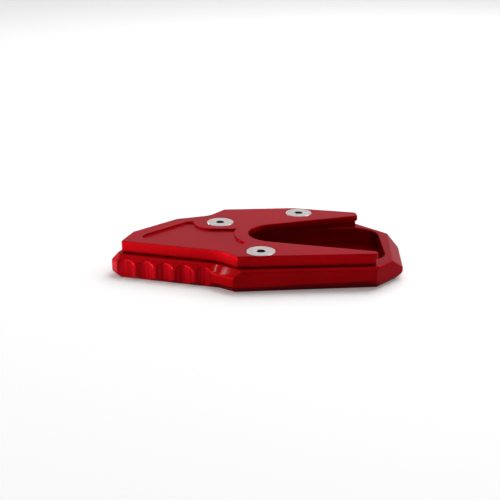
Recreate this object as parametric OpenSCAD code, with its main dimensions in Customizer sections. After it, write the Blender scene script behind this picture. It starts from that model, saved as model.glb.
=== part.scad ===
// Kickstand foot enlarger: a milled base with a pocket for the stand's foot, a milled plate
// that closes over the foot, and three countersunk screws.
// Millimetres. X runs along the part from the nose to the rim, Y from front to back, Z up.
// The origin is under the middle of the part, on the ground.

/* [Lengths and heights] */
// Length of the nose, from its tip to the root of the front flare
nose_l = 35.5; // [29.5:0.1:44]
// Length of the deck, from the root of the front flare to the rim
deck_l = 65.9; // [54.9:0.1:80]
// Width over both sides
body_w = 62.4; // [52:0.1:75]
// Height of the base
base_h = 8.3; // [6.9:0.1:10]
// Thickness of the top plate
plate_t = 4; // [3.3:0.1:4.8]

/* [Outline of the base] */
// Front corner of the nose tip: along from the tip, forward of the middle line
nose_low = [2.4, 16.1]; // [2:0.1:18]
// Left corner of the nose tip, forward of the middle line
nose_high = 12.1; // [10:0.1:14]
// Rear corner of the nose tip: along from the tip, back of the middle line
nose_rear = [3.9, 1.1]; // [0:0.1:6]
// Shoulder at the back of the nose: along from the tip, in from the back
nose_shoulder = [18.7, 14.4]; // [10:0.1:20]
// Root of the front flare, in from the front
flare_root_in = 5.1; // [4:0.1:6]
// Front corner, along from the root of the front flare
front_corner = 6.8; // [6:0.1:9]
// Front end of the corner face: in from the rim, in from the front
face_front = [11.7, 3.1]; // [2:0.1:14]
// Rear end of the corner face: in from the rim, in from the front
face_rear = [1.3, 14.7]; // [1:0.1:16]
// Corner of the rim, in from the back
rim_corner = 26.9; // [24:0.1:29]
// Far end of the rear corner face: in from the rim, in from the back
rim_end = [19.7, 4.3]; // [4:0.1:21]
// Bend in the back side, along from the root of the front flare
back_bend = 28.9; // [26:0.1:32]
// Tip of the back flare: along from the root of the front flare, in from the back
back_flare_tip = [0.3, 2]; // [0:0.1:3]
// Root of the back flare: short of the root of the front flare, in from the back
back_flare_root = [5.3, 10.3]; // [4:0.1:12]

/* [Bevels of the base] */
// Width of the top bevel round the nose, the flares and the back
bevel_w = 2.4; // [2:0.1:2.8]
// Height of that bevel
bevel_h = 2.7; // [2.2:0.1:3.2]
// Width of the top bevel on the small face of the nose tip
tip_bevel_w = 1.9; // [1.6:0.1:2.3]
// Width of the top bevel along the front
front_bevel_w = 1; // [0.8:0.1:1.2]
// Width of the top bevel along the rim
rim_bevel_w = 4; // [3.4:0.1:4.4]
// Width of the bevel under the nose
sole_nose_w = 1.6; // [1.3:0.1:1.9]
// Width of the bevel under the flares, the corner face and the back
sole_bevel_w = 2.1; // [1.7:0.1:2.5]
// Width of the bevel under the rim
sole_rim_w = 2.6; // [2.2:0.1:3.1]
// Width that the bevel under the front side grows to
sole_front_w = 3.6; // [3:0.1:4]

/* [Grip flutes] */
// Distance between neighbouring flutes
flute_pitch = 7; // [6.4:0.1:8.4]
// Radius of a flute
flute_r = 4.4; // [3.7:0.1:5.3]
// Depth of a flute in the side of the nose
flute_depth = 1.2; // [1:0.05:1.45]
// From the root of the front flare to the middle of the nearest flute
flute_start = 3.3; // [2.8:0.1:4]
// Side left plain at the nose tip, from the middle of the last flute
flute_end = 2.2; // [1.8:0.1:2.6]

/* [Foot pocket] */
// Wall left in front of the pocket
pocket_wall_front = 8; // [6.7:0.1:9.6]
// Wall left behind the pocket
pocket_wall_back = 10.2; // [8.5:0.1:12.3]
// Wall left between the pocket and the rim, at its front and at its rear
pocket_wall_rim = [6.2, 7.2]; // [5.2:0.1:8.7]
// Radius of the pocket's front corner
pocket_front_r = 7; // [5.9:0.1:8.4]
// Radius of the pocket's rear corner
pocket_rear_r = 9.2; // [7.7:0.1:11.1]
// Floor under the pocket
floor_t = 2.6; // [2.2:0.1:3.1]
// From the middle of the front screw to the pocket
boss_wall = 5; // [4.2:0.1:6]
// Depth of the seat for the foot in the underside of the top plate
seat_depth = 2; // [1.7:0.1:2.4]
// How much wider the seat is than the pocket, all round
seat_gap = 0.8; // [0.6:0.1:1]
// How far the seat cuts back the underside of the prongs' tips
tip_relief = 0.8; // [0.6:0.1:1]

/* [Top plate] */
// Ledge of the base left bare round the plate
ledge_w = 1.6; // [1.2:0.1:2]
// Ledge left bare at the nose tip
tip_ledge_w = 1; // [0.8:0.1:1.6]
// Ledge left bare at the front corner, on the side of the flare
corner_ledge_w = 0.6; // [0.4:0.1:0.8]
// End of the front prong, in from the rim
front_prong_in = 10.9; // [9:0.1:13]
// End of the back prong, in from the rim
back_prong_in = 13.9; // [13:0.1:16]
// Radius at the root of the plate's front flare
front_flare_r = 13; // [10:0.5:16]
// Radius at the root of the plate's back flare
back_flare_r = 7; // [5:0.5:8]
// Radius on the outer corners of the prongs
prong_r = 1.6; // [1:0.1:2]
// Radius on the inner corners of the prongs
prong_inner_r = 0.8; // [0.6:0.1:1]
// Radius of the bend in the back side
back_bend_r = 16; // [10:1:20]
// Small radius on the plate's other corners
plate_corner_r = 0.8; // [0.6:0.1:1]
// Edge break round the plate, above and below
edge_break = 0.25; // [0.2:0.05:0.3]

/* [Notch for the leg] */
// Radius of the notch's closed end
notch_r = 10; // [8.4:0.1:12]
// Middle of the closed end: along from the root of the front flare, forward of the middle line
notch_place = [21.8, 3.2]; // [2:0.1:26]
// Angle between each side of the notch and its axis
notch_flare = 17.1; // [14.5:0.1:19]
// Angle of the notch's axis
notch_turn = 1.1; // [0:0.1:2]

/* [Recess in the top] */
// Depth of the shallow recess over the nose
recess_depth = 0.7; // [0.6:0.05:0.8]
// Border left round the recess
recess_border = 5.2; // [4.3:0.1:6.3]
// Border left behind the recess, at the back of the nose
recess_back_border = 4.4; // [3.7:0.1:5.3]
// Radius of the land left round the rear left screw
recess_rear_land = 8; // [6.7:0.1:9.6]
// How far that land reaches to the left of the screw's own circle
recess_rear_reach = 1.6; // [1.3:0.1:1.9]
// Length of that land's straight front
recess_rear_front = 8; // [6.7:0.1:9.6]
// Radius of the land left round the front screw
recess_front_land = 9.6; // [8:0.1:11]
// Width of the land left round the closed end of the notch
recess_notch_land = 5; // [4.2:0.1:6]
// Radius on the recess's own corners
recess_r = 2; // [1:0.1:3]

/* [Screws] */
// Thread diameter
screw_d = 5; // [4.2:0.1:6]
// Head diameter
head_d = 10; // [8.4:0.1:12]
// Height of the plain band at the top of the head
head_band = 0.3; // [0.25:0.01:0.36]
// Length under the plate's top face
screw_l = 10; // [8.4:0.1:12]
// Bevel on the end of the thread
screw_tip = 0.6; // [0.5:0.1:0.8]
// Width across the flats of the hexagon socket
socket_w = 3; // [2.5:0.1:3.6]
// Depth of the socket
socket_depth = 2.2; // [1.8:0.1:2.4]
// Plate left between a head and the plate's edge
head_land = 0.4; // [0.3:0.05:0.6]
// Front screw, along from the front corner
front_screw_along = 9.2; // [7.7:0.1:11]
// Rear left screw: on from the root of the back flare, in from it
rear_left_screw = [6.8, 11.3]; // [5.7:0.1:13]
// Rear right screw, on from the bend in the back side
rear_right_along = 1.6; // [1.3:0.1:1.9]
// Clearance round the thread in the top plate
screw_clearance = 0.25; // [0.2:0.05:0.3]
// Clearance round the thread in the base
thread_clearance = 0.05; // [0.04:0.01:0.06]
// Clearance round the head's band
head_clearance = 0.1; // [0.08:0.01:0.12]

/* [Hidden] */
$fn = 96;

total_h = base_h + plate_t;
half_l = (nose_l + deck_l) / 2;
half_w = body_w / 2;
deck_x = nose_l - half_l;
// Steps in a small rounded corner, round the pocket's corners and round the notch's end
corner_steps = 8;
pocket_steps = 20;
notch_steps = 30;
// How far a cutter runs past what it cuts
past = 1;
// How far a bevel's cutter reaches out from its edge
bevel_reach = 10;
// How far the nose and the deck run into each other
overlap = 5;
// How far the slopes of the plate's broken edges run past its faces
break_past = 0.2;

// Unit normal of the edge from p to q, pointing into an outline that runs counter-clockwise
function inward(p, q) = [p[1] - q[1], q[0] - p[0]] / norm(q - p);

// Point where line a-b, moved in by s, crosses line c-d, moved in by t
function crossing(a, b, s, c, d, t) =
    let (p = a + inward(a, b) * s, q = c + inward(c, d) * t, u = b - a, v = d - c)
    p + u * cross(q - p, v) / cross(u, v);

// Point at x on line a-b, moved in by s
function at_x(a, b, s, x) =
    let (p = a + inward(a, b) * s)
    [x, p[1] + (x - p[0]) * (b[1] - a[1]) / (b[0] - a[0])];

// Point past b on the line from a to b
function beyond(a, b, length) = b + (b - a) / norm(b - a) * length;

// Arc of radius r that rounds corner p between its neighbours a and b
function corner_arc(a, p, b, r, steps) =
    let (u = (a - p) / norm(a - p), v = (b - p) / norm(b - p), half = acos(u * v) / 2)
    let (middle = p + (u + v) / norm(u + v) * r / sin(half))
    let (first = p + u * r / tan(half) - middle, last = p + v * r / tan(half) - middle)
    let (start = atan2(first[1], first[0]), turn = atan2(cross(first, last), first * last))
    [for (i = [0:steps]) middle + r * [cos(start + turn * i / steps), sin(start + turn * i / steps)]];

// Outline from a list of corners, each [point, radius, steps]
function rounded(corners) =
    let (n = len(corners))
    [for (i = [0:n - 1])
        let (before = corners[(i + n - 1) % n][0], c = corners[i], after = corners[(i + 1) % n][0])
        each c[1] == 0 ? [c[0]] : corner_arc(before, c[0], after, c[1], c[2])];

// Outline moved in by s all round
function moved_in(points, s) =
    let (n = len(points))
    [for (i = [0:n - 1])
        let (before = points[(i + n - 1) % n], p = points[i], after = points[(i + 1) % n])
        crossing(before, p, s, p, after, s)];

// Outward normal of the belt line that leaves circle a for circle b, each [middle, radius]
function belt_normal(a, b) =
    let (d = b[0] - a[0], k = (a[1] - b[1]) / norm(d), along = d / norm(d))
    along * k + [along[1], -along[0]] * sqrt(1 - k * k);

// Outline of a belt drawn tight round a ring of circles, counter-clockwise
function belt(circles, steps) =
    let (n = len(circles))
    [for (i = [0:n - 1])
        let (c = circles[i], first = belt_normal(circles[(i + n - 1) % n], c))
        let (last = belt_normal(c, circles[(i + 1) % n]), start = atan2(first[1], first[0]))
        let (turn = (atan2(last[1], last[0]) - start + 720) % 360)
        for (k = [0:steps]) c[0] + c[1] * [cos(start + turn * k / steps), sin(start + turn * k / steps)]];

// Corners of the base at its widest, counter-clockwise from the nose tip
tip_low = [nose_low[0] - half_l, -nose_low[1]];
flare_root = [deck_x, flare_root_in - half_w];
corner_front = [deck_x + front_corner, -half_w];
face_a = [half_l - face_front[0], face_front[1] - half_w];
face_b = [half_l - face_rear[0], face_rear[1] - half_w];
rim_a = [half_l, half_w - rim_corner];
rim_b = [half_l - rim_end[0], half_w - rim_end[1]];
bend_back = [deck_x + back_bend, half_w];
flare_tip_back = [deck_x + back_flare_tip[0], half_w - back_flare_tip[1]];
flare_root_back = [deck_x - back_flare_root[0], half_w - back_flare_root[1]];
shoulder = [nose_shoulder[0] - half_l, half_w - nose_shoulder[1]];
tip_rear = [nose_rear[0] - half_l, nose_rear[1]];
tip_high = [-half_l, -nose_high];

// The nose and the deck, each without an inner corner
nose_corners = [tip_low, beyond(tip_low, flare_root, overlap), beyond(shoulder, flare_root_back, overlap),
    shoulder, tip_rear, tip_high];
deck_corners = [corner_front, face_a, face_b, rim_a, rim_b, bend_back, flare_tip_back,
    beyond(flare_tip_back, flare_root_back, overlap), beyond(corner_front, flare_root, overlap)];

// Bevels, edge by edge: width where the edge starts, width where it ends, height over width
plain = [0, 0, 0];
bevel = [bevel_w, bevel_w, bevel_h / bevel_w];
tip_bevel = [tip_bevel_w, tip_bevel_w, bevel_h / tip_bevel_w];
front_bevel = [front_bevel_w, front_bevel_w, 1];
rim = [rim_bevel_w, rim_bevel_w, 1];
sole_nose = [sole_nose_w, sole_nose_w, 1];
sole = [sole_bevel_w, sole_bevel_w, 1];
sole_front = [sole_bevel_w, sole_front_w, 1];
sole_rim = [sole_rim_w, sole_rim_w, 1];
nose_top = [bevel, plain, bevel, bevel, bevel, tip_bevel];
nose_sole = [sole_nose, plain, sole_nose, sole_nose, sole_nose, sole_nose];
deck_top = [front_bevel, plain, rim, plain, bevel, bevel, bevel, plain, bevel];
deck_sole = [sole_front, sole, sole_rim, sole_rim, sole, sole, sole, plain, sole];

// How far the plate's edge is in from the side of the base
plate_in = bevel_w + ledge_w;
tip_in = bevel_w + tip_ledge_w;
front_in = front_bevel_w + ledge_w;
corner_in = bevel_w + corner_ledge_w;
screw_in = head_land + head_d / 2;

// Ends of the prongs, at the plate's outer edges
front_prong = at_x(corner_front, face_a, front_in, half_l - front_prong_in);
back_prong = at_x(rim_b, bend_back, plate_in, half_l - back_prong_in);

// The notch: middle of its closed end, and the point where its two sides would meet
notch_c = [deck_x + notch_place[0], -notch_place[1]];
notch_apex = notch_c - [cos(notch_turn), sin(notch_turn)] * notch_r / sin(notch_flare);
function notch_side(angle) = notch_apex + [cos(notch_turn + angle), sin(notch_turn + angle)];

// Corners of the plate, counter-clockwise from the nose: point, radius, steps
plate_corners = [
    [crossing(tip_rear, tip_high, tip_in, tip_low, flare_root, plate_in), plate_corner_r, corner_steps],
    [crossing(tip_low, flare_root, plate_in, flare_root, corner_front, plate_in), front_flare_r, corner_steps],
    [crossing(flare_root, corner_front, corner_in, corner_front, face_a, front_in), plate_corner_r, corner_steps],
    [front_prong, prong_r, corner_steps],
    [crossing(front_prong, back_prong, 0, notch_apex, notch_side(-notch_flare), 0), prong_inner_r, corner_steps],
    [notch_apex, notch_r, notch_steps],
    [crossing(front_prong, back_prong, 0, notch_apex, notch_side(notch_flare), 0), prong_inner_r, corner_steps],
    [back_prong, prong_r, corner_steps],
    [crossing(rim_b, bend_back, plate_in, bend_back, flare_tip_back, plate_in), back_bend_r, corner_steps],
    [crossing(bend_back, flare_tip_back, plate_in, flare_tip_back, flare_root_back, plate_in), plate_corner_r,
        corner_steps],
    [crossing(flare_tip_back, flare_root_back, plate_in, flare_root_back, shoulder, plate_in), back_flare_r,
        corner_steps],
    [crossing(flare_root_back, shoulder, plate_in, shoulder, tip_rear, plate_in), plate_corner_r, corner_steps],
    [crossing(shoulder, tip_rear, plate_in, tip_rear, tip_high, tip_in), plate_corner_r, corner_steps]];
plate_outline = rounded(plate_corners);

// Middles of the screws
front_screw = at_x(corner_front, face_a, front_in + screw_in, corner_front[0] + front_screw_along);
rear_left = flare_root_back + [rear_left_screw[0], -rear_left_screw[1]];
rear_right = at_x(rim_b, bend_back, plate_in + screw_in, bend_back[0] + rear_right_along);
screws = [front_screw, rear_left, rear_right];

// Circles that the pocket's outline runs round: at the notch's closed end, in front, at the rear
pocket_circles = [
    [notch_c, norm(front_screw - notch_c) - boss_wall],
    [crossing(corner_front, face_a, pocket_wall_front + pocket_front_r,
        face_b, rim_a, pocket_wall_rim[0] + pocket_front_r), pocket_front_r],
    [crossing(face_b, rim_a, pocket_wall_rim[1] + pocket_rear_r,
        rim_b, bend_back, pocket_wall_back + pocket_rear_r), pocket_rear_r]];

// Corners of the recess, before the lands round the screws and the notch are left out of it
recess_in = plate_in + recess_border;
recess_back_in = plate_in + recess_back_border;
recess_tip_in = tip_in + recess_border;
recess_corners = [
    [crossing(tip_rear, tip_high, recess_tip_in, tip_low, flare_root, recess_in), recess_r, corner_steps],
    [crossing(tip_low, flare_root, recess_in, flare_root, corner_front, recess_in), recess_r, corner_steps],
    [front_screw, 0],
    [notch_c, 0],
    [rear_left, 0],
    [crossing(flare_root_back, shoulder, recess_back_in, shoulder, tip_rear, recess_in), recess_r, corner_steps],
    [crossing(shoulder, tip_rear, recess_in, tip_rear, tip_high, recess_tip_in), recess_r, corner_steps]];

// Circles at the two ends of the land round the rear left screw
rear_land_left = rear_left - [recess_rear_reach, 0];
rear_land = [[rear_land_left, recess_rear_land], [rear_land_left + [recess_rear_front, 0], recess_rear_land]];

// Flutes that fit along the front of the nose
nose_side = norm(tip_low - flare_root);
flutes = floor((nose_side - flute_start - flute_end) / flute_pitch) + 1;

// Heights of a screw: its end, its neck under the head, and the foot of the head's plain band
screw_end = total_h - screw_l;
band_foot = total_h - head_band;
neck = band_foot - (head_d - screw_d) / 2;

// Wedge that cuts a bevel along edge p-q at height z; side is 1 above and -1 below
module bevel_cutter(p, q, widths, z, side) {
    a = p + inward(p, q) * widths[0];
    b = q + inward(p, q) * widths[1];
    slope = side * widths[2];
    translate([a[0], a[1], z])
        rotate([0, 0, atan2(b[1] - a[1], b[0] - a[0])])
            translate([-bevel_reach, 0, 0])
                rotate([90, 0, 90])
                    linear_extrude(norm(b - a) + 2 * bevel_reach)
                        polygon([[past, past * slope], [-bevel_reach, past * slope],
                            [-bevel_reach, -bevel_reach * slope]]);
}

// Upright block with its first edges bevelled above and below, one edge after the other
module bevelled_block(corners, above, below, edges) {
    if (edges == 0)
        linear_extrude(base_h) polygon(corners);
    else
        difference() {
            bevelled_block(corners, above, below, edges - 1);
            p = corners[edges - 1];
            q = corners[edges % len(corners)];
            if (above[edges - 1][0] > 0) bevel_cutter(p, q, above[edges - 1], base_h, 1);
            if (below[edges - 1][0] > 0) bevel_cutter(p, q, below[edges - 1], 0, -1);
        }
}

// Outline of the foot that the pocket takes, with room round it
module foot_outline(room) {
    polygon(belt([for (c = pocket_circles) [c[0], c[1] + room]], pocket_steps));
}

// Upright flutes along the front of the nose, counted from the root of the flare
module grip_flutes() {
    along = (tip_low - flare_root) / nose_side;
    out = -inward(tip_low, flare_root) * (flute_r - flute_depth);
    for (i = [0:flutes - 1])
        translate(concat(flare_root + along * (flute_start + i * flute_pitch) + out, -past))
            cylinder(r = flute_r, h = base_h + 2 * past);
}

// Slab on an outline, with its edges broken above and below: the slopes run on past
// both faces, and a block trims them
module broken_slab(outline, z, height, w) {
    n = len(outline);
    // Rings from the bottom up, each [distance in from the outline, height]
    rings = [[w + break_past, z - break_past], [0, z + w], [0, z + height - w],
        [w + break_past, z + height + break_past]];
    points = [for (r = rings, p = moved_in(outline, r[0])) concat(p, r[1])];
    bottom = [for (i = [0:n - 1]) i];
    top = [for (i = [n - 1:-1:0]) 3 * n + i];
    sides = [for (k = [0:2], i = [0:n - 1])
        let (j = (i + 1) % n)
        [k * n + i, (k + 1) * n + i, (k + 1) * n + j, k * n + j]];
    intersection() {
        polyhedron(points, concat([bottom, top], sides));
        translate([-half_l, -half_w, z]) cube([2 * half_l, body_w, height]);
    }
}

// Strip under the tips of the prongs, where the seat runs out
module tip_cut() {
    p = beyond(back_prong, front_prong, past);
    q = beyond(front_prong, back_prong, past);
    across = inward(p, q);
    translate([0, 0, base_h - past])
        linear_extrude(seat_depth + past)
            polygon([p - across * past, q - across * past, q + across * tip_relief, p + across * tip_relief]);
}

// Hole and countersink for one screw in the top plate
module countersink() {
    translate([0, 0, base_h - past])
        cylinder(r = screw_d / 2 + screw_clearance, h = plate_t + 2 * past);
    translate([0, 0, neck])
        cylinder(r1 = screw_d / 2, r2 = head_d / 2 + head_clearance, h = band_foot - neck + head_clearance);
    translate([0, 0, band_foot + head_clearance])
        cylinder(r = head_d / 2 + head_clearance, h = past);
}

module base_plate() {
    color([0.62, 0.02, 0.05])
        difference() {
            union() {
                bevelled_block(nose_corners, nose_top, nose_sole, len(nose_corners));
                bevelled_block(deck_corners, deck_top, deck_sole, len(deck_corners));
            }
            grip_flutes();
            translate([0, 0, floor_t]) linear_extrude(base_h) foot_outline(0);
            for (s = screws)
                translate(concat(s, -past))
                    cylinder(r = screw_d / 2 + thread_clearance, h = base_h + 2 * past);
        }
}

module top_plate() {
    color([0.72, 0.03, 0.07])
        difference() {
            broken_slab(plate_outline, base_h, plate_t, edge_break);
            translate([0, 0, base_h - past]) linear_extrude(seat_depth + past) foot_outline(seat_gap);
            tip_cut();
            translate([0, 0, total_h - recess_depth])
                linear_extrude(recess_depth + past)
                    difference() {
                        polygon(rounded(recess_corners));
                        translate(front_screw) circle(r = recess_front_land);
                        polygon(belt(rear_land, pocket_steps));
                        translate(notch_c) circle(r = notch_r + recess_notch_land);
                    }
            for (s = screws) translate(s) countersink();
        }
}

// Countersunk screw with a hexagon socket
module screw(place) {
    color([0.78, 0.78, 0.8])
        translate(place)
            difference() {
                rotate_extrude()
                    polygon([[0, screw_end], [screw_d / 2 - screw_tip, screw_end],
                        [screw_d / 2, screw_end + screw_tip], [screw_d / 2, neck],
                        [head_d / 2, band_foot], [head_d / 2, total_h], [0, total_h]]);
                translate([0, 0, total_h - socket_depth])
                    cylinder(r = socket_w / 2 / cos(30), h = socket_depth + past, $fn = 6);
            }
}

base_plate();
top_plate();
screw(front_screw);  // screw_front
screw(rear_left);  // screw_rear_left
screw(rear_right);  // screw_rear_right
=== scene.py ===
import math

import bmesh
import bpy
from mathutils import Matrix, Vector


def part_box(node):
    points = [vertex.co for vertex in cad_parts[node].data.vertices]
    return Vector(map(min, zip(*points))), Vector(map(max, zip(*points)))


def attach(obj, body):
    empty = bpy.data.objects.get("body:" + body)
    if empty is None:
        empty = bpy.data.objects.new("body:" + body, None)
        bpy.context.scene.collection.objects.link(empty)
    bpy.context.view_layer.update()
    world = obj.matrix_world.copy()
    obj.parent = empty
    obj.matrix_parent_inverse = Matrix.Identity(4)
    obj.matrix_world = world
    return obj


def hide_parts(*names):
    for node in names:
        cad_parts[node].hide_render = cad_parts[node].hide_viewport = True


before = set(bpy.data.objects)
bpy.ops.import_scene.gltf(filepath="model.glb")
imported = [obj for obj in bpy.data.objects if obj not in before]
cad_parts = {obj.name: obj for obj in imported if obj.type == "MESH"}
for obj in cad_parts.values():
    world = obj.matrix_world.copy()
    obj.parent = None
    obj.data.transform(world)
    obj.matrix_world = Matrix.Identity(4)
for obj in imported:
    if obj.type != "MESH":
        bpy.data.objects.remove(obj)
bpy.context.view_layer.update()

mm = 0.001
root = "root"


# Mesh helpers

meshCare = {
    "mergeGap": 0.002 * mm,
    "flatAngle": 0.4,            # faces that differ by less become one face, degrees
    "bevelProfile": 0.5,         # a plain round
    "normalWeight": 90,          # 50 is neutral, and higher lets wide faces count for more
}


def linkedObject(name, mesh, mat):
    piece = bpy.data.objects.new(name, mesh)
    bpy.context.scene.collection.objects.link(piece)
    mesh.materials.clear()
    mesh.materials.append(mat)
    return piece


def flatSheet(name, wide, deep, mat):
    # A rectangle round its own origin, facing up
    x, y = wide / 2, deep / 2
    mesh = bpy.data.meshes.new(name)
    mesh.from_pydata([(-x, -y, 0), (x, -y, 0), (x, y, 0), (-x, y, 0)], [], [(0, 1, 2, 3)])
    return linkedObject(name, mesh, mat)


def cleanCopy(node):
    # The node's own mesh, with its triangles joined back into whole faces
    bm = bmesh.new()
    bm.from_mesh(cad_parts[node].data)
    bmesh.ops.remove_doubles(bm, verts=bm.verts, dist=meshCare["mergeGap"])
    flat = math.radians(meshCare["flatAngle"])
    bmesh.ops.dissolve_limit(bm, angle_limit=flat, verts=bm.verts, edges=bm.edges)
    return bm


def sharpEdges(bm, degrees):
    limit = math.radians(degrees)
    return [e for e in bm.edges if len(e.link_faces) == 2 and e.calc_face_angle(0) > limit]


def isInside(edge, zone):
    # The zone's two corners are in millimetres
    low, high = zone
    return all(low[i] * mm < v.co[i] < high[i] * mm for v in edge.verts for i in range(3))


def roundSharpEdges(bm, look):
    # Edges that lie wholly in one of the look's sharpZones are left as they are
    edges = sharpEdges(bm, look["edgeAngle"])
    edges = [e for e in edges if not any(isInside(e, zone) for zone in look["sharpZones"])]
    bmesh.ops.bevel(bm, geom=edges, offset=look["edgeRound"], offset_type="OFFSET",
                    segments=look["edgeSegments"], profile=meshCare["bevelProfile"],
                    affect="EDGES", clamp_overlap=False, miter_outer="ARC")


def joinRings(bm, rings):
    # Side faces between closed rings of the same length
    count = len(rings[0])
    for under, over in zip(rings, rings[1:]):
        for i in range(count):
            j = (i + 1) % count
            bm.faces.new((under[i], under[j], over[j], over[i]))


def finishedMesh(bm, name, smoothDegrees):
    # Smooth shading over every edge that is flatter than smoothDegrees
    bmesh.ops.recalc_face_normals(bm, faces=bm.faces)
    limit = math.radians(smoothDegrees)
    for face in bm.faces:
        face.smooth = True
    for edge in bm.edges:
        edge.smooth = len(edge.link_faces) == 2 and edge.calc_face_angle(math.pi) < limit
    mesh = bpy.data.meshes.new(name)
    bm.to_mesh(mesh)
    bm.free()
    return mesh


def weighNormals(piece):
    # Wide faces keep their own normal, and the narrow rounds between them turn
    weigh = piece.modifiers.new("weighNormals", "WEIGHTED_NORMAL")
    weigh.mode = "FACE_AREA"
    weigh.weight = meshCare["normalWeight"]
    weigh.keep_sharp = True


# Material helpers

def newMaterial(name):
    mat = bpy.data.materials.new(name)
    mat.use_nodes = True
    return mat, mat.node_tree, mat.node_tree.nodes["Principled BSDF"]


def setOrLink(tree, value, socket):
    # value is a socket, a number or a color
    if isinstance(value, (int, float)):
        socket.default_value = value
    elif isinstance(value, tuple):
        socket.default_value = (*value, 1)
    else:
        tree.links.new(value, socket)


def objectVector(tree, stretch=(1, 1, 1)):
    coords = tree.nodes.new("ShaderNodeTexCoord")
    mapping = tree.nodes.new("ShaderNodeMapping")
    mapping.inputs["Scale"].default_value = stretch
    tree.links.new(coords.outputs["Object"], mapping.inputs["Vector"])
    return mapping.outputs["Vector"]


def axisOutput(tree, vector, axis):
    split = tree.nodes.new("ShaderNodeSeparateXYZ")
    tree.links.new(vector, split.inputs[0])
    return split.outputs[axis]


def noiseOutput(tree, vector, scale, detail, roughness=0.55):
    noise = tree.nodes.new("ShaderNodeTexNoise")
    noise.inputs["Scale"].default_value = scale
    noise.inputs["Detail"].default_value = detail
    noise.inputs["Roughness"].default_value = roughness
    tree.links.new(vector, noise.inputs["Vector"])
    return noise.outputs["Fac"]


def rampOutput(tree, factor, band, low, high):
    # Turns from one color to the other while factor crosses the band
    ramp = tree.nodes.new("ShaderNodeValToRGB")
    for element, place, color in zip(ramp.color_ramp.elements, band, (low, high)):
        element.position = place
        element.color = (*color, 1)
    tree.links.new(factor, ramp.inputs["Fac"])
    return ramp.outputs["Color"]


def rangeOutput(tree, value, results, reach=(0, 1), easing="LINEAR"):
    # Runs over results while value runs over reach
    spread = tree.nodes.new("ShaderNodeMapRange")
    spread.interpolation_type = easing
    for name, level in zip(("From Min", "From Max", "To Min", "To Max"), (*reach, *results)):
        spread.inputs[name].default_value = level
    tree.links.new(value, spread.inputs["Value"])
    return spread.outputs["Result"]


def mathOutput(tree, operation, first, second=0.0):
    node = tree.nodes.new("ShaderNodeMath")
    node.operation = operation
    setOrLink(tree, first, node.inputs[0])
    setOrLink(tree, second, node.inputs[1])
    return node.outputs[0]


def mixedColor(tree, factor, first, second):
    # A mix of colors takes its factor in socket 0 and its colors in 6 and 7, and gives the result in 2
    mix = tree.nodes.new("ShaderNodeMix")
    mix.data_type = "RGBA"
    tree.links.new(factor, mix.inputs[0])
    setOrLink(tree, first, mix.inputs[6])
    setOrLink(tree, second, mix.inputs[7])
    return mix.outputs[2]


def bumpOutput(tree, height, depth, strength, under=None):
    bump = tree.nodes.new("ShaderNodeBump")
    bump.inputs["Distance"].default_value = depth
    bump.inputs["Strength"].default_value = strength
    tree.links.new(height, bump.inputs["Height"])
    if under is not None:
        tree.links.new(under, bump.inputs["Normal"])
    return bump.outputs["Normal"]


def rayMask(tree, *kinds):
    # 1 for the kinds of ray named, 0 for the others
    path = tree.nodes.new("ShaderNodeLightPath")
    mask = path.outputs[kinds[0]]
    for kind in kinds[1:]:
        mask = mathOutput(tree, "MAXIMUM", mask, path.outputs[kind])
    return mask


# Red anodised aluminium, bead blasted before it was dyed

anodised = {
    "edgeTint": (1.0, 0.60, 0.65),       # keeps the glancing sheen pink and not white
    "roughness": (0.40, 0.48),
    "coat": 0.04,
    "coatRoughness": 0.12,
    "cloudScale": 55,                    # dye clouds, per metre
    "cloudDetail": 4,
    "cloudBand": (0.3, 0.7),             # where the noise turns from dark dye to light
    "grainScale": 5200,                  # blasted grain, per metre
    "grainDetail": 2,
    "grainDepth": 0.006 * mm,
    "grainStrength": 0.5,
    "streakScale": 1300,                 # the cutter's upright lines, per metre
    "streakDetail": 2,
    "streakStretch": (1, 1, 0.02),       # draws the noise out upright
    "streakBand": (0.40, 0.60),          # where the noise turns into a line
    "streakDepth": 0.030 * mm,
    "streakStrength": 0.6,
    "streakHighlight": (0.36, 0.001, 0.006),    # painted highlight: a lighter red along the lines, which also brightens the flutes
    "streakFade": 1 * mm,                # how softly the lines end
    "uprightBand": (0.25, 0.75),         # size of the normal's z over which the lines fade out
}


def uprightMask(tree):
    # 1 on upright faces, falling to 0 on level ones
    geometry = tree.nodes.new("ShaderNodeNewGeometry")
    lean = mathOutput(tree, "ABSOLUTE", axisOutput(tree, geometry.outputs["Normal"], 2))
    return rangeOutput(tree, lean, (1, 0), anodised["uprightBand"])


def leftMask(tree, place):
    # 1 to the left of a place along the part, 0 to its right
    along = axisOutput(tree, objectVector(tree), 0)
    return rangeOutput(tree, along, (1, 0), (place - anodised["streakFade"], place))


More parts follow.
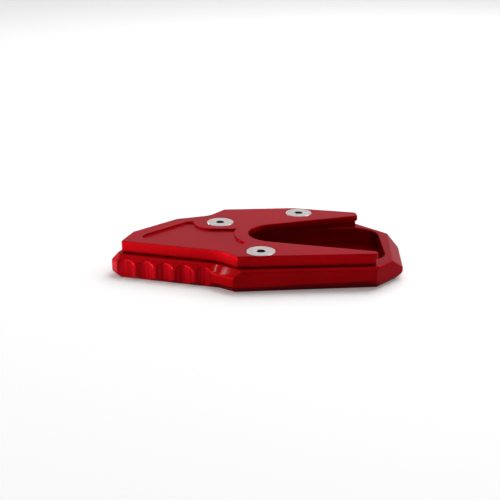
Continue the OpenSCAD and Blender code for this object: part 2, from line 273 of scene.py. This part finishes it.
def anodisedRed(name, look):
    # look gives the dye's two shades and how strongly the cutter's upright lines and their painted
    # highlight show
    mat, tree, shader = newMaterial(name)
    vector = objectVector(tree)
    stretched = objectVector(tree, anodised["streakStretch"])
    clouds = noiseOutput(tree, vector, anodised["cloudScale"], anodised["cloudDetail"])
    grain = noiseOutput(tree, vector, anodised["grainScale"], anodised["grainDetail"])
    lines = noiseOutput(tree, stretched, anodised["streakScale"], anodised["streakDetail"])
    sides = mathOutput(tree, "MULTIPLY", uprightMask(tree), leftMask(tree, look["streaksEnd"]))
    sides = mathOutput(tree, "MULTIPLY", sides, look["streaks"])
    dye = rampOutput(tree, clouds, anodised["cloudBand"], look["dyeDark"], look["dyeLight"])
    bright = rampOutput(tree, lines, anodised["streakBand"], (0, 0, 0), (1, 1, 1))
    bright = mathOutput(tree, "MULTIPLY", bright, sides)
    # Painted highlight: on the flutes' upright faces the lines are mixed to a lighter red
    tree.links.new(mixedColor(tree, bright, dye, anodised["streakHighlight"]), shader.inputs["Base Color"])
    tree.links.new(rangeOutput(tree, clouds, anodised["roughness"]), shader.inputs["Roughness"])
    normal = bumpOutput(tree, grain, anodised["grainDepth"], anodised["grainStrength"])
    cut = mathOutput(tree, "MULTIPLY", lines, sides)
    normal = bumpOutput(tree, cut, anodised["streakDepth"], anodised["streakStrength"], normal)
    tree.links.new(normal, shader.inputs["Normal"])
    shader.inputs["Metallic"].default_value = 1
    shader.inputs["Specular Tint"].default_value = (*anodised["edgeTint"], 1)
    shader.inputs["Coat Weight"].default_value = anodised["coat"]
    shader.inputs["Coat Roughness"].default_value = anodised["coatRoughness"]
    return mat


# Stainless steel of the screws

screwFinish = {
    "dark": (0.40, 0.355, 0.35),
    "light": (0.52, 0.460, 0.455),
    "roughness": (0.26, 0.38),
    "wearScale": 420,            # worn patches, per metre
    "wearDetail": 4,
    "wearBand": (0.35, 0.65),    # where the noise turns from dark steel to light
    "ringScale": 900,            # turned rings, per metre
    "ringWobble": 0.4,
    "ringDepth": 0.006 * mm,
    "ringStrength": 0.35,
    "grainScale": 2600,          # the steel's grain and the noise in the sockets' painted shade, per metre
    "grainDetail": 2,
    "grainDepth": 0.004 * mm,
    "grainStrength": 0.4,
    # The sockets' painted shade
    "shadeDetail": 3,
    "shadeBand": (0.3, 0.7),
    "socketDark": (0.012, 0.011, 0.011),
    "socketLight": (0.035, 0.032, 0.031),
    "socketRoughness": (0.55, 0.75),
}


def turnedRings(tree, vector):
    rings = tree.nodes.new("ShaderNodeTexWave")
    rings.wave_type = "RINGS"
    rings.rings_direction = "Z"
    rings.inputs["Scale"].default_value = screwFinish["ringScale"]
    rings.inputs["Distortion"].default_value = screwFinish["ringWobble"]
    tree.links.new(vector, rings.inputs["Vector"])
    return rings.outputs["Fac"]


def screwSteel():
    finish = screwFinish
    mat, tree, shader = newMaterial("screwSteel")
    vector = objectVector(tree)
    wear = noiseOutput(tree, vector, finish["wearScale"], finish["wearDetail"])
    grain = noiseOutput(tree, vector, finish["grainScale"], finish["grainDetail"])
    steel = rampOutput(tree, wear, finish["wearBand"], finish["dark"], finish["light"])
    tree.links.new(steel, shader.inputs["Base Color"])
    tree.links.new(rangeOutput(tree, wear, finish["roughness"]), shader.inputs["Roughness"])
    normal = bumpOutput(tree, turnedRings(tree, vector), finish["ringDepth"], finish["ringStrength"])
    normal = bumpOutput(tree, grain, finish["grainDepth"], finish["grainStrength"], normal)
    tree.links.new(normal, shader.inputs["Normal"])
    shader.inputs["Metallic"].default_value = 1
    return mat


def socketShade():
    # Painted shade: a near-black dull colour darkens the wall and the bottom of each socket
    finish = screwFinish
    mat, tree, shader = newMaterial("socketShade")
    shadeNoise = noiseOutput(tree, objectVector(tree), finish["grainScale"], finish["shadeDetail"])
    shade = rampOutput(tree, shadeNoise, finish["shadeBand"], finish["socketDark"], finish["socketLight"])
    tree.links.new(shade, shader.inputs["Base Color"])
    tree.links.new(rangeOutput(tree, shadeNoise, finish["socketRoughness"]), shader.inputs["Roughness"])
    normal = bumpOutput(tree, shadeNoise, finish["grainDepth"], finish["grainStrength"])
    tree.links.new(normal, shader.inputs["Normal"])
    return mat


# Base plate

baseLook = {
    # Painted shade: both of the base's shades are set darker than the plate's, for its low place near
    # the floor
    "dyeDark": (0.185, 0.0, 0.0006),     # where the dye took deepest
    "dyeLight": (0.250, 0.0, 0.0018),
    "edgeRound": 0.42 * mm,
    "edgeAngle": 24,
    "edgeSegments": 4,
    "sharpZones": [((-60, -60, 2.59), (60, 60, 2.61)),        # edge of the pocket's floor
                   ((-60, -60, -0.01), (-14.9, -13, 2.5))],   # thin bevel under the flutes
    "smoothAngle": 42,
    "streaks": 0.8,
    "streaksEnd": -16 * mm,              # the lines show left of this, in the flutes
}

# The cutter's round at the root of the front flare, on the top bevel
rootRound = {
    "root": Vector((-15.2, -26.1, 0)) * mm,
    "noseTip": Vector((-48.3, -16.1, 0)) * mm,
    "frontCorner": Vector((-8.4, -31.2, 0)) * mm,
    "foot": 5.6 * mm,
    "bevelWide": 2.4 * mm,
    "bevelHigh": 2.7 * mm,
    "reach": 2.6 * mm,                   # how far the round runs along each side
    "flute": (3.3 * mm, 4.4 * mm, 3.2 * mm),    # nearest flute: along, radius, middle out from the side
    "fluteGap": 0.1 * mm,                # how far in from the flute's edge the round starts
    "fluteLevel": 0.4,                   # share of the bevel's height where the flute is measured
    "span": (0.13, 0.93),                # shares of the bevel's height that the round covers
    "core": Vector((0.02, 0.05, -0.1)) * mm,    # from the bevel's inner corner to the round's back
    "steps": 10,
    "rows": 6,
}


def fluteDepth(along):
    middle, radius, out = rootRound["flute"]
    inside = radius ** 2 - (along - middle) ** 2
    return max(0, math.sqrt(max(0, inside)) - out)


def roundPoint(share, level):
    # Point on the round: share runs from the nose's side to the flare's, level up the bevel
    spec = rootRound
    left = (spec["noseTip"] - spec["root"]).normalized()
    right = (spec["frontCorner"] - spec["root"]).normalized()
    inner = (left + right).normalized()
    if inner.y < 0:
        inner = -inner
    half = math.acos(max(-1, min(1, -left.dot(right)))) / 2
    middle = spec["root"] + inner * spec["bevelWide"] * level / math.cos(half)
    first = middle + left * spec["reach"]
    last = middle + right * spec["reach"]
    point = first * (1 - share) ** 2 + middle * 2 * share * (1 - share) + last * share ** 2
    along = (point - spec["root"]).dot(left)
    point.z = spec["foot"] + spec["bevelHigh"] * level
    middle.z = point.z
    return point, middle, along


def addRootRound(bm):
    spec = rootRound
    low, high = spec["span"]
    rings = []
    for row in range(spec["rows"] + 1):
        ring = []
        for step in range(spec["steps"] + 1):
            share = step / spec["steps"]
            along = roundPoint(share, spec["fluteLevel"])[2]
            start = max(low, (fluteDepth(along) + spec["fluteGap"]) / spec["bevelWide"])
            level = start + (high - start) * row / spec["rows"]
            ring.append(bm.verts.new(roundPoint(share, level)[0]))
        level = low + (high - low) * row / spec["rows"]
        ring.append(bm.verts.new(roundPoint(0.5, level)[1] + spec["core"]))
        rings.append(ring)
    joinRings(bm, rings)
    for ring in (rings[0], rings[-1]):
        for i in range(len(ring) - 2):
            bm.faces.new((ring[-1], ring[i], ring[i + 1]))


def makeBasePlate():
    bm = cleanCopy("base_plate")
    roundSharpEdges(bm, baseLook)
    addRootRound(bm)
    mesh = finishedMesh(bm, "basePlate", baseLook["smoothAngle"])
    # The base gets a darker copy of the plate's red, as painted shade
    piece = linkedObject("basePlate", mesh, anodisedRed("redAnodisedBaseShaded", baseLook))
    weighNormals(piece)
    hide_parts("base_plate")
    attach(piece, root)


# Top plate

plateLook = {
    "dyeDark": (0.250, 0.0, 0.0010),
    "dyeLight": (0.325, 0.0, 0.0026),
    "edgeRound": 0.10 * mm,
    "edgeAngle": 62,
    "edgeSegments": 2,
    "sharpZones": [((-60, -60, 8.2), (60, 60, 10.4))],        # hidden underside and seat
    "smoothAngle": 50,
    "streaks": 0.15,
    "streaksEnd": 60 * mm,
}


def makeTopPlate():
    bm = cleanCopy("top_plate")
    roundSharpEdges(bm, plateLook)
    mesh = finishedMesh(bm, "topPlate", plateLook["smoothAngle"])
    piece = linkedObject("topPlate", mesh, anodisedRed("redAnodisedPlate", plateLook))
    weighNormals(piece)
    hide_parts("top_plate")
    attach(piece, root)


# Screws

screwNodes = ["screw_front", "screw_rear_left", "screw_rear_right"]
screwLook = {
    "headGap": 0.08 * mm,        # how far the head stays inside its CAD size, for the dark ring round it
    "headRound": 0.24 * mm,
    "headSteps": 4,
    "headFlat": 0.8,             # share of the head's radius where its flat top starts
    "band": 0.30 * mm,           # from the cone's upper edge to the head's top
    "threadR": 2.5 * mm,
    "rootR": 2.05 * mm,
    "pitch": 0.8 * mm,           # from one level ring of the shank to the next
    "ringSlope": 1.25,           # how steeply a ring's sides fall
    "ringCrest": 0.1,            # how late they start to fall, which leaves the crest flat
    "threadRows": 9,             # rows of faces in one pitch
    "tipBevel": 0.6 * mm,
    "socketAcross": 3 * mm,
    "socketDepth": 2.2 * mm,
    "socketWall": 0.82,          # share of the depth where the wall ends and the taper starts
    "socketTip": 0.2,            # width of the taper's end, as a share of the socket's
    "socketRim": 0.12 * mm,      # bevel round the socket's mouth
    "steps": 96,
    "smoothAngle": 34,
}


def hexagonReach(angle, across):
    # From the middle of a hexagon to its side in one direction
    part = math.degrees(angle) % 60
    return across / 2 / math.cos(math.radians(part - 30))


def headRings(neckZ, topZ, headR):
    # Rings from the neck up round the head and down into the socket: radius, width across flats, height.
    # Round rings have no width, and the socket's hexagons have no radius.
    spec = screwLook
    across, depth = spec["socketAcross"], spec["socketDepth"]
    rings = [(spec["threadR"], 0, neckZ), (headR, 0, topZ - spec["band"])]
    for step in range(spec["headSteps"] + 1):
        turn = math.pi / 2 * step / spec["headSteps"]
        inset = spec["headRound"] * (1 - math.cos(turn))
        rise = spec["headRound"] * (1 - math.sin(turn))
        rings.append((headR - inset, 0, topZ - rise))
    rings.append((headR * spec["headFlat"], 0, topZ))
    rings.append((0, across + 2 * spec["socketRim"], topZ))
    rings.append((0, across, topZ - spec["socketRim"]))
    rings.append((0, across, topZ - depth * spec["socketWall"]))
    rings.append((0, across * spec["socketTip"], topZ - depth))
    return rings


def threadRadius(z, low, high):
    # Level vee rings stand in for the hidden thread and fade out towards the tip and the neck
    spec = screwLook
    wave = abs((z / spec["pitch"] % 1) * 2 - 1)
    fall = min(1, max(0, wave * spec["ringSlope"] - spec["ringCrest"]))
    depth = (spec["threadR"] - spec["rootR"]) * fall
    tip = max(0, spec["tipBevel"] - (z - low))
    neck = min(1, max(0, (high - z) / spec["pitch"]))
    return min(spec["threadR"] - depth * neck, spec["threadR"] - tip)


def screwRings(low, high):
    # Every ring of the screw from its tip up, as (angle, radius, height) at each step round it
    spec = screwLook
    headR = (high.x - low.x) / 2 - spec["headGap"]
    neckZ = high.z - spec["band"] - (headR - spec["threadR"])
    rows = int((neckZ - low.z) / spec["pitch"] * spec["threadRows"])
    angles = [2 * math.pi * i / spec["steps"] for i in range(spec["steps"])]
    rings = []
    for row in range(rows):
        z = low.z + (neckZ - low.z) * row / rows
        rings.append([(a, threadRadius(z, low.z, neckZ), z) for a in angles])
    for radius, across, z in headRings(neckZ, high.z, headR):
        rings.append([(a, radius or hexagonReach(a, across), z) for a in angles])
    return rings


def makeScrew(node, steel, shade):
    low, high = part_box(node)
    middle = (low + high) / 2
    bm = bmesh.new()
    loops = []
    for ring in screwRings(low, high):
        loops.append([bm.verts.new((r * math.cos(a), r * math.sin(a), z)) for a, r, z in ring])
    bm.faces.new(list(reversed(loops[0])))
    joinRings(bm, loops)
    bm.faces.new(loops[-1])
    mesh = finishedMesh(bm, node + "_fine", screwLook["smoothAngle"])
    piece = linkedObject(node + "_fine", mesh, steel)
    piece.location = (middle.x, middle.y, 0)
    mesh.materials.append(shade)
    for face in mesh.polygons[-2 * screwLook["steps"] - 1:]:    # the socket's wall, taper and end
        face.material_index = 1
    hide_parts(node)
    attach(piece, root)


# Floor, world, lights and camera

studio = {
    "floorSize": 6,
    "floorColor": 0.85,
    "floorLift": 0.19,          # what camera rays see added, so the lit floor reads white
    "floorGloss": 0.05,         # what reflections see added, right of glowTo
    "glowLeft": 1.0,            # the same left of glowFrom
    "glowFrom": -0.070,
    "glowTo": -0.024,
    "worldAmbient": 0.50,
    "worldGloss": 1.0,          # what the camera and reflections see
    "flagColor": 0.03,
    "aim": Vector((0, 0, 8 * mm)),      # where every lamp points
}


def floorGlow(tree):
    # Painted reflection: reflections see the floor glow white on the left and dim on the right, in place
    # of light from the left
    along = axisOutput(tree, objectVector(tree), 0)
    levels = (studio["glowLeft"], studio["floorGloss"])
    return rangeOutput(tree, along, levels, (studio["glowFrom"], studio["glowTo"]), "SMOOTHSTEP")


def makeFloor():
    mat, tree, shader = newMaterial("paleFloor")
    shader.inputs["Base Color"].default_value = (studio["floorColor"],) * 3 + (1,)
    shader.inputs["Roughness"].default_value = 1
    shader.inputs["Specular IOR Level"].default_value = 0
    shader.inputs["Emission Color"].default_value = (1, 1, 1, 1)
    seen = mathOutput(tree, "MULTIPLY", rayMask(tree, "Is Camera Ray"), studio["floorLift"])
    # Painted reflection: a glow on the floor that only reflections see
    mirrored = rayMask(tree, "Is Glossy Ray", "Is Transmission Ray")
    mirrored = mathOutput(tree, "MULTIPLY", mirrored, floorGlow(tree))
    tree.links.new(mathOutput(tree, "ADD", seen, mirrored), shader.inputs["Emission Strength"])
    flatSheet("floor", studio["floorSize"], studio["floorSize"], mat)


def makeWorld():
    world = bpy.data.worlds.new("studioWorld")
    world.use_nodes = True
    bpy.context.scene.world = world
    tree = world.node_tree
    back = tree.nodes["Background"]
    back.inputs["Color"].default_value = (1, 1, 1, 1)
    mask = rayMask(tree, "Is Camera Ray", "Is Transmission Ray", "Is Glossy Ray")
    strength = rangeOutput(tree, mask, (studio["worldAmbient"], studio["worldGloss"]))
    tree.links.new(strength, back.inputs["Strength"])


# Dark flags that keep the front and the right dim, out of the camera's sight
flags = [
    {"name": "frontFlag", "place": (0.12, -0.46, 0.30), "size": (0.75, 0.56)},
    {"name": "rightFlag", "place": (0.50, -0.22, 0.14), "size": (0.40, 0.24)},
]


def makeFlags():
    mat, tree, shader = newMaterial("flagCloth")
    shader.inputs["Base Color"].default_value = (studio["flagColor"],) * 3 + (1,)
    shader.inputs["Roughness"].default_value = 1
    for spec in flags:
        flag = flatSheet(spec["name"], *spec["size"], mat)
        flag.location = spec["place"]
        aim = Vector((0, 0, spec["place"][2])) - Vector(spec["place"])
        flag.rotation_euler = aim.to_track_quat("-Z", "Y").to_euler()
        flag.visible_camera = False


# The first lamp lights only dull surfaces: the floor, the flags and the sockets.
# The others show only in reflections.
lamps = [
    {"name": "overheadBox", "place": (0.32, 0.32, 0.80), "size": (1.0, 0.8), "power": 7.4, "dull": True},
    {"name": "leftFrontBox", "place": (-0.50, -0.45, 0.05), "size": (0.30, 0.08), "power": 0.9},
    {"name": "leftSideBox", "place": (-0.70, -0.04, 0.045), "size": (0.30, 0.08), "power": 3.0},
    {"name": "lowFrontBox", "place": (0.10, -0.42, 0.15), "size": (0.20, 0.05), "power": 0.18},
    {"name": "leftBackBox", "place": (-0.75, 0.56, 0.34), "size": (0.05, 0.05), "power": 1.6},
    {"name": "rightBox", "place": (0.60, 0.10, 0.55), "size": (0.30, 0.30), "power": 3},
    {"name": "backBox", "place": (0.0, 0.80, 0.30), "size": (0.80, 0.30), "power": 0.10},
    {"name": "rootStrip", "place": (-0.62, -0.16, 0.75), "size": (0.04, 0.04), "power": 0.8},
]


def makeLamps():
    for spec in lamps:
        data = bpy.data.lights.new(spec["name"], "AREA")
        data.shape = "RECTANGLE"
        data.size, data.size_y = spec["size"]
        data.energy = spec["power"]
        lamp = bpy.data.objects.new(spec["name"], data)
        lamp.location = spec["place"]
        lamp.rotation_euler = (studio["aim"] - lamp.location).to_track_quat("-Z", "Y").to_euler()
        dull = spec.get("dull", False)
        lamp.visible_diffuse = dull
        lamp.visible_glossy = not dull
        bpy.context.scene.collection.objects.link(lamp)


viewpoint = {
    "place": (-2.86 * mm, -337.35 * mm, 121.7 * mm),
    "tilt": 70.88,
    "lens": 72,
    "sensor": 36,
    "clipStart": 0.01,
}


def makeCamera():
    data = bpy.data.cameras.new("photoCamera")
    data.lens = viewpoint["lens"]
    data.sensor_width = viewpoint["sensor"]
    data.clip_start = viewpoint["clipStart"]
    camera = bpy.data.objects.new("photoCamera", data)
    camera.location = viewpoint["place"]
    camera.rotation_euler = (math.radians(viewpoint["tilt"]), 0, 0)
    bpy.context.scene.collection.objects.link(camera)
    bpy.context.scene.camera = camera


bpy.context.scene.view_settings.view_transform = "Standard"
makeCamera()
makeWorld()
makeFloor()
makeFlags()
makeLamps()
print("studio is ready")
makeBasePlate()
print("base plate is ready")
makeTopPlate()
print("top plate is ready")
steel = screwSteel()
shade = socketShade()
for node in screwNodes:
    makeScrew(node, steel, shade)
print("screws are ready")
